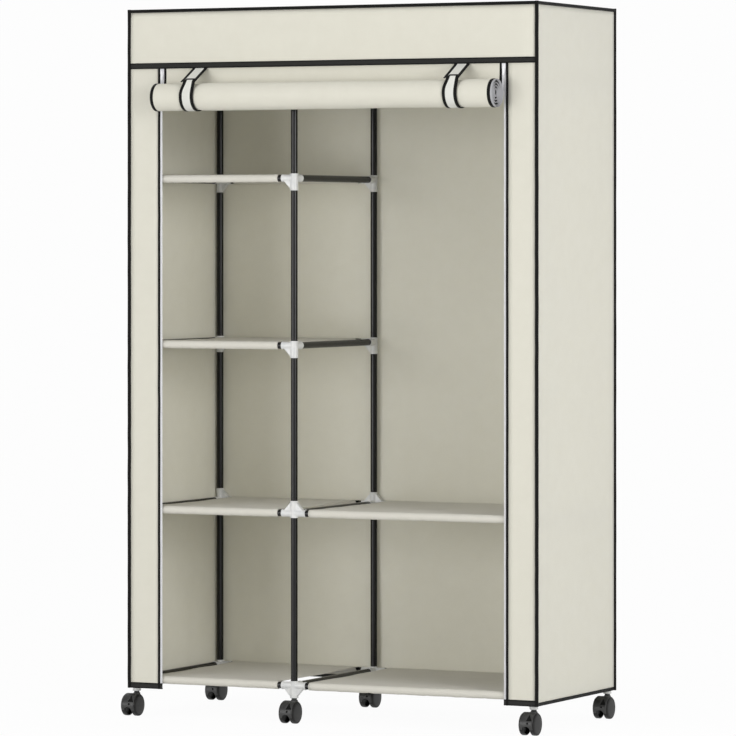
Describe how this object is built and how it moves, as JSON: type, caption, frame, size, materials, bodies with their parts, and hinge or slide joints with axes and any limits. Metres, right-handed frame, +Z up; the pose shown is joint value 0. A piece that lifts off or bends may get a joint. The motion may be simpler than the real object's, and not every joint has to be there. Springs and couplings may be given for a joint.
{
  "type": "portable fabric wardrobe",
  "caption": "Free-standing wardrobe: tube frame on swivel casters, fabric shelves and a hanging rod under a zipped fabric cover whose door is rolled up and strapped.",
  "frame": {"origin": "on the floor, under the middle of the whole part's box, rolled door included", "axes": "+Z up from the floor, +Y towards the back, +X to the right seen from the front"},
  "size_m": [1.071, 0.525, 1.6749],
  "materials": {
    "cover_fabric": "matt non-woven",
    "shelf_fabric": "matt non-woven",
    "strap_webbing": "matt, bound edges",
    "edge_binding": "folded tape, matt",
    "zip_plastic": "moulded, glossy",
    "tube_steel": "powder coated, satin",
    "fitting_plastic": "moulded, satin",
    "caster_plastic": "moulded, glossy",
    "wheel_plastic": "moulded, glossy"
  },
  "bodies": {
    "root": {"post_front_left": "tube_steel", "post_front_centre": "tube_steel", "post_front_right": "tube_steel", "post_rear_left": "tube_steel", "post_rear_centre": "tube_steel", "post_rear_right": "tube_steel", "depth_tube_left_bottom": "tube_steel", "depth_tube_centre_bottom": "tube_steel", "depth_tube_right_bottom": "tube_steel", "depth_tube_left_lower": "tube_steel", "depth_tube_centre_lower": "tube_steel", "depth_tube_right_lower": "tube_steel", "depth_tube_left_middle": "tube_steel", "depth_tube_centre_middle": "tube_steel", "depth_tube_left_upper": "tube_steel", "depth_tube_centre_upper": "tube_steel", "depth_tube_left_top": "tube_steel", "depth_tube_centre_top": "tube_steel", "depth_tube_right_top": "tube_steel", "hanging_crossbar_centre": "tube_steel", "hanging_crossbar_right": "tube_steel", "hanging_rod": "tube_steel", "rail_front_bottom": "fitting_plastic", "rail_front_lower": "fitting_plastic", "rail_front_middle": "fitting_plastic", "rail_front_upper": "fitting_plastic", "rail_front_top": "fitting_plastic", "rail_rear_bottom": "fitting_plastic", "rail_rear_lower": "fitting_plastic", "rail_rear_middle": "fitting_plastic", "rail_rear_upper": "fitting_plastic", "rail_rear_top": "fitting_plastic", "shelf_left_bottom": "shelf_fabric", "shelf_left_lower": "shelf_fabric", "shelf_left_middle": "shelf_fabric", "shelf_left_upper": "shelf_fabric", "shelf_right_bottom": "shelf_fabric", "shelf_right_lower": "shelf_fabric", "side_panel_left": "cover_fabric", "side_panel_right": "cover_fabric", "back_panel": "cover_fabric", "top_panel": "cover_fabric", "rolled_door": "cover_fabric", "strap_left": "strap_webbing", "strap_right": "strap_webbing", "cover_binding": "edge_binding"},
    "caster_front_left": {"caster_front_left": "caster_plastic"},
    "caster_front_centre": {"caster_front_centre": "caster_plastic"},
    "caster_front_right": {"caster_front_right": "caster_plastic"},
    "caster_rear_left": {"caster_rear_left": "caster_plastic"},
    "caster_rear_centre": {"caster_rear_centre": "caster_plastic"},
    "caster_rear_right": {"caster_rear_right": "caster_plastic"},
    "caster_wheels_front_left": {"caster_wheels_front_left": "wheel_plastic"},
    "caster_wheels_front_centre": {"caster_wheels_front_centre": "wheel_plastic"},
    "caster_wheels_front_right": {"caster_wheels_front_right": "wheel_plastic"},
    "caster_wheels_rear_left": {"caster_wheels_rear_left": "wheel_plastic"},
    "caster_wheels_rear_centre": {"caster_wheels_rear_centre": "wheel_plastic"},
    "caster_wheels_rear_right": {"caster_wheels_rear_right": "wheel_plastic"},
    "zip_slider_left": {"zip_slider_left": "zip_plastic"},
    "zip_slider_right": {"zip_slider_right": "zip_plastic"}
  },
  "joints": [
    {"name": "swivel_front_left", "type": "hinge", "parent": "root", "child": "caster_front_left", "pos_m": [-0.517, -0.17773, 0.05], "axis": [0, 0, 1], "continuous": true},
    {"name": "swivel_front_centre", "type": "hinge", "parent": "root", "child": "caster_front_centre", "pos_m": [-0.097, -0.17773, 0.05], "axis": [0, 0, 1], "continuous": true},
    {"name": "swivel_front_right", "type": "hinge", "parent": "root", "child": "caster_front_right", "pos_m": [0.517, -0.17773, 0.05], "axis": [0, 0, 1], "continuous": true},
    {"name": "swivel_rear_left", "type": "hinge", "parent": "root", "child": "caster_rear_left", "pos_m": [-0.517, 0.24627, 0.05], "axis": [0, 0, 1], "continuous": true},
    {"name": "swivel_rear_centre", "type": "hinge", "parent": "root", "child": "caster_rear_centre", "pos_m": [-0.097, 0.24627, 0.05], "axis": [0, 0, 1], "continuous": true},
    {"name": "swivel_rear_right", "type": "hinge", "parent": "root", "child": "caster_rear_right", "pos_m": [0.517, 0.24627, 0.05], "axis": [0, 0, 1], "continuous": true},
    {"name": "wheel_spin_front_left", "type": "hinge", "parent": "caster_front_left", "child": "caster_wheels_front_left", "pos_m": [-0.517, -0.19773, 0.0255], "axis": [1, 0, 0], "continuous": true},
    {"name": "wheel_spin_front_centre", "type": "hinge", "parent": "caster_front_centre", "child": "caster_wheels_front_centre", "pos_m": [-0.097, -0.19773, 0.0255], "axis": [1, 0, 0], "continuous": true},
    {"name": "wheel_spin_front_right", "type": "hinge", "parent": "caster_front_right", "child": "caster_wheels_front_right", "pos_m": [0.517, -0.19773, 0.0255], "axis": [1, 0, 0], "continuous": true},
    {"name": "wheel_spin_rear_left", "type": "hinge", "parent": "caster_rear_left", "child": "caster_wheels_rear_left", "pos_m": [-0.517, 0.22627, 0.0255], "axis": [1, 0, 0], "continuous": true},
    {"name": "wheel_spin_rear_centre", "type": "hinge", "parent": "caster_rear_centre", "child": "caster_wheels_rear_centre", "pos_m": [-0.097, 0.22627, 0.0255], "axis": [1, 0, 0], "continuous": true},
    {"name": "wheel_spin_rear_right", "type": "hinge", "parent": "caster_rear_right", "child": "caster_wheels_rear_right", "pos_m": [0.517, 0.22627, 0.0255], "axis": [1, 0, 0], "continuous": true},
    {"name": "zip_slide_left", "type": "slide", "parent": "root", "child": "zip_slider_left", "axis": [0, 0, 1], "range_m": [-1.425, 0]},
    {"name": "zip_slide_right", "type": "slide", "parent": "root", "child": "zip_slider_right", "axis": [0, 0, 1], "range_m": [-1.425, 0]}
  ]
}
